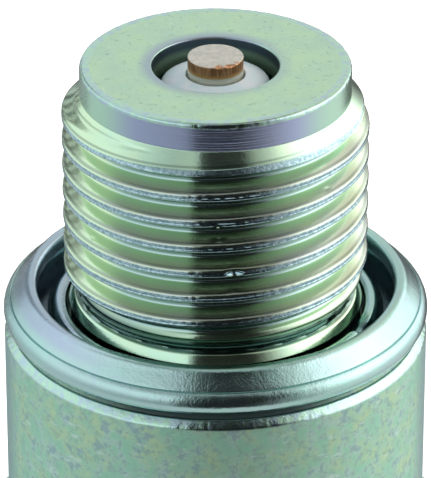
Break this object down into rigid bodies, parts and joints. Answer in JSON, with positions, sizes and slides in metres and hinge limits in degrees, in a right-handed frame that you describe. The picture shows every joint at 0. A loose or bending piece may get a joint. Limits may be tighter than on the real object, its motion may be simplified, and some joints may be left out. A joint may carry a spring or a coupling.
{
  "type": "spark plug",
  "caption": "Surface-discharge spark plug with a threaded plated steel shell, captive folded gasket, ribbed ceramic insulator and screw-on terminal nut.",
  "frame": {"origin": "on the plug's axis, in the plane of the shell's gasket seat, where the thread enters a cylinder head", "axes": "+Z along the plug's axis, out of the firing end; +X is square to one flat of the hexagon"},
  "size_m": [0.0208, 0.024, 0.0636],
  "materials": {
    "plated_shell": "bright zinc plating with an iridescent pale green and violet chromate film",
    "gasket_steel": "zinc-plated folded sheet, satin, blue-grey",
    "insulator_ceramic": "white alumina, glazed outside, fired matt at the nose",
    "electrode_nickel": "nickel alloy pin, warm grey, turned",
    "electrode_copper": "copper core",
    "plain_steel": "plain drawn steel",
    "sealing_powder": "pressed talc powder",
    "seal_glass": "conductive glass, dull",
    "resistor_mass": "carbon and glass resistor mass, matt",
    "terminal_plate": "nickel plated"
  },
  "bodies": {
    "plug_body": {"shell": "plated_shell", "insulator": "insulator_ceramic", "seat_washer": "plain_steel", "lower_wire_ring": "plain_steel", "talc_fill": "sealing_powder", "upper_wire_ring": "plain_steel", "electrode_sheath": "electrode_nickel", "electrode_core": "electrode_copper", "lower_glass_seal": "seal_glass", "resistor": "resistor_mass", "upper_glass_seal": "seal_glass", "terminal_stud": "plain_steel"},
    "captive_gasket": {"gasket": "gasket_steel"},
    "removable_nut": {"terminal_nut": "terminal_plate"}
  },
  "joints": [
    {"name": "gasket_lift", "type": "slide", "parent": "plug_body", "child": "captive_gasket", "axis": [0, 0, 1], "range_m": [0, 0.0014]},
    {"name": "nut_removal", "type": "slide", "parent": "plug_body", "child": "removable_nut", "axis": [0, 0, -1], "range_m": [0, 0.0072]}
  ]
}
